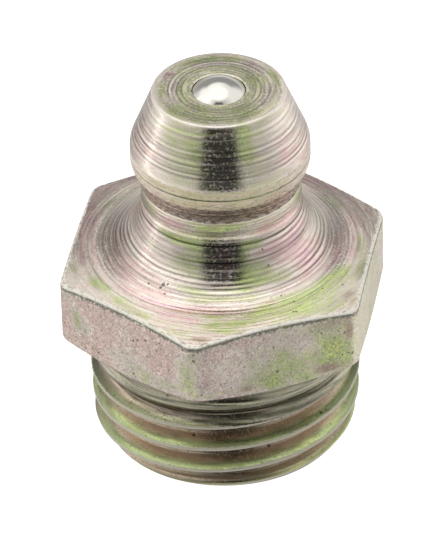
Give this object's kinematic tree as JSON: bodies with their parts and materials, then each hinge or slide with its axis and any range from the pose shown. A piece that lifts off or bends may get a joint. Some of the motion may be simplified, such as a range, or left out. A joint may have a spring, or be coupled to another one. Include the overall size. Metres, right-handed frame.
{
  "type": "grease nipple",
  "caption": "Straight hydraulic grease nipple: hexagon body with tapered thread shank, coupler head and a sprung check ball.",
  "frame": {"origin": "centre of the threaded end face, on the axis of the passage", "axes": "+Z along the axis from the threaded end to the coupler head; +X normal to one hexagon flat; a hexagon corner on +Y and -Y"},
  "size_m": [0.011, 0.0124, 0.0149],
  "materials": {
    "plated_steel": "zinc plated with an iridescent yellow-green and pink passivation, fine turning grooves",
    "ball_steel": "polished bearing steel",
    "spring_wire": "drawn spring wire, plain"
  },
  "bodies": {
    "housing": {"body": "plated_steel", "spring": "spring_wire"},
    "ball": {"check_ball": "ball_steel"}
  },
  "joints": [
    {"name": "ball_lift", "type": "slide", "parent": "housing", "child": "ball", "axis": [0, 0, -1], "range_m": [0, 0.0008], "stiffness_N_per_m": 800, "springref_m": -0.0015, "deforming": ["spring"]}
  ]
}
